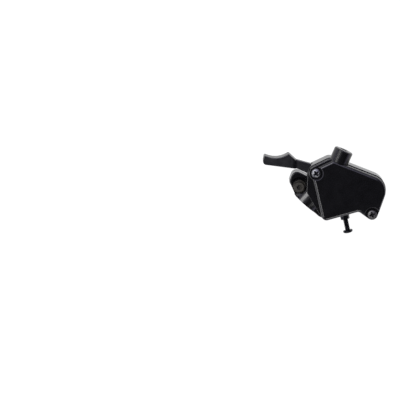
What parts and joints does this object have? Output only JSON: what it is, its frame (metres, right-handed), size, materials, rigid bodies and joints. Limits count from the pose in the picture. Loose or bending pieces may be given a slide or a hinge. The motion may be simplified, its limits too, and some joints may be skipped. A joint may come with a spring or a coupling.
{
  "type": "thumb throttle lever",
  "caption": "Handlebar thumb throttle: cast case and cover hold a sprung thumb lever that pulls a cable, with a stroke screw and a split bar clamp.",
  "frame": {"origin": "on the handlebar's axis, at the middle of the clamp's length", "axes": "+X along the bar towards its outer end, +Z square to the cover's face and away from the bar, +Y away from the thumb pad towards the cable boss side"},
  "size_m": [0.0715, 0.124, 0.0578],
  "materials": {
    "cast_black": "semi-gloss black paint over a die casting",
    "lever_black": "moulded, fine satin grain",
    "gasket": "flat cut sheet",
    "bright_zinc": "bright zinc plate",
    "dull_zinc": "dull zinc plate",
    "black_steel": "black oxide",
    "bush_bronze": "sintered bronze",
    "spring_steel": "drawn spring wire"
  },
  "bodies": {
    "housing": {"housing_body": "cast_black", "housing_cover": "cast_black", "cover_gasket": "gasket", "nose_cover_screw": "bright_zinc", "tail_cover_screw": "dull_zinc", "lower_thrust_washer": "dull_zinc", "upper_thrust_washer": "dull_zinc", "pivot_bolt": "dull_zinc", "pivot_nut": "dull_zinc", "pivot_nut_washer": "dull_zinc", "return_spring": "spring_steel", "limiter_lock_nut": "black_steel", "clamp_cap": "cast_black", "front_clamp_bolt": "black_steel", "rear_clamp_bolt": "black_steel", "front_clamp_washer": "dull_zinc", "rear_clamp_washer": "dull_zinc"},
    "lever": {"thumb_lever": "lever_black", "lower_bush": "bush_bronze", "upper_bush": "bush_bronze"},
    "limiter": {"limiter_screw": "black_steel"}
  },
  "joints": [
    {"name": "lever_pivot", "type": "hinge", "parent": "housing", "child": "lever", "pos_m": [-0.03605, 0.02471, 0], "axis": [0, 0, 1], "range_deg": [0, 30], "stiffness_Nm_per_rad": 0.4, "springref_deg": -34.38, "deforming": ["return_spring"]},
    {"name": "limiter_adjust", "type": "slide", "parent": "housing", "child": "limiter", "axis": [0.5948, 0.8039, 0], "range_m": [0, 0.006]}
  ]
}
